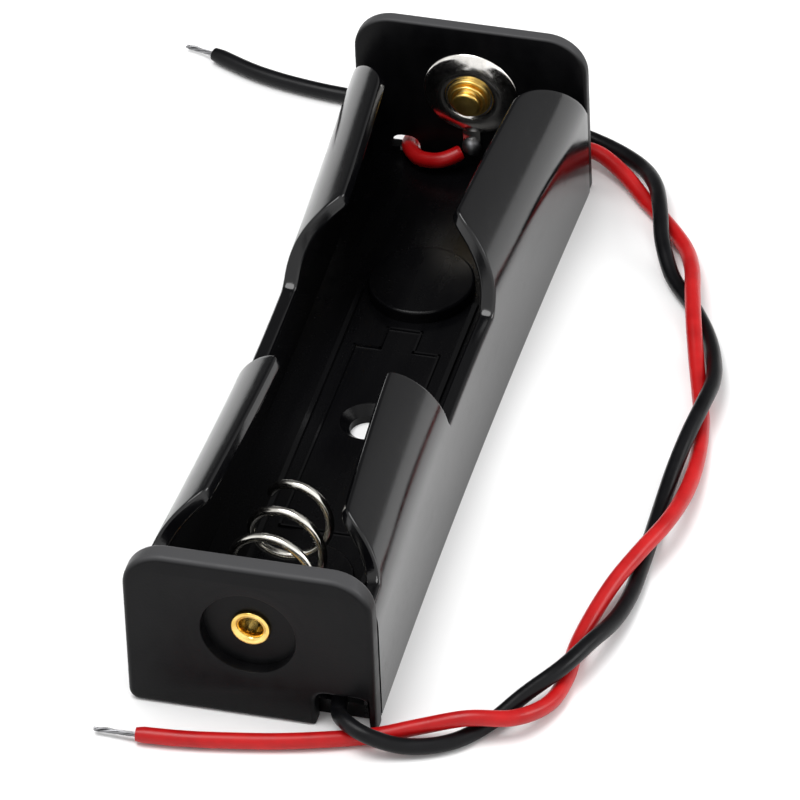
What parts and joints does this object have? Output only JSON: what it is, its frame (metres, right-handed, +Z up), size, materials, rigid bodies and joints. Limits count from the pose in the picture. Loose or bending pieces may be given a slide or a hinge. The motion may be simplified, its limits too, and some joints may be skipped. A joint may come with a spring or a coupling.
{
  "type": "cylindrical cell holder",
  "caption": "Open moulded tray with inward-curled clip arms that holds a round cell between a coil spring contact and a button contact, with twisted flying leads.",
  "frame": {"origin": "centre of the tray's footprint, on the base it stands on, which is also the axis of the screw hole", "axes": "+Y along the cell from the spring contact to the button contact, +Z up out of the open tray, +X across the tray"},
  "size_m": [0.0599, 0.0928, 0.016],
  "materials": {
    "tray_plastic": "satin",
    "spring_steel": "bright nickel plate",
    "nickel_sheet": "bright nickel plate",
    "brass_eyelet": "bright",
    "solder": "satin",
    "tinned_strands": "satin",
    "red_insulation": "soft gloss",
    "black_insulation": "soft gloss"
  },
  "bodies": {
    "root": {"tray": "tray_plastic", "negative_tag": "nickel_sheet", "contact_spring": "spring_steel", "negative_eyelet": "brass_eyelet", "negative_solder": "solder", "positive_plate": "nickel_sheet", "positive_eyelet": "brass_eyelet", "positive_solder": "solder", "red_lead": "red_insulation", "red_strands": "tinned_strands", "black_lead": "black_insulation", "black_strands": "tinned_strands"}
  },
  "joints": []
}
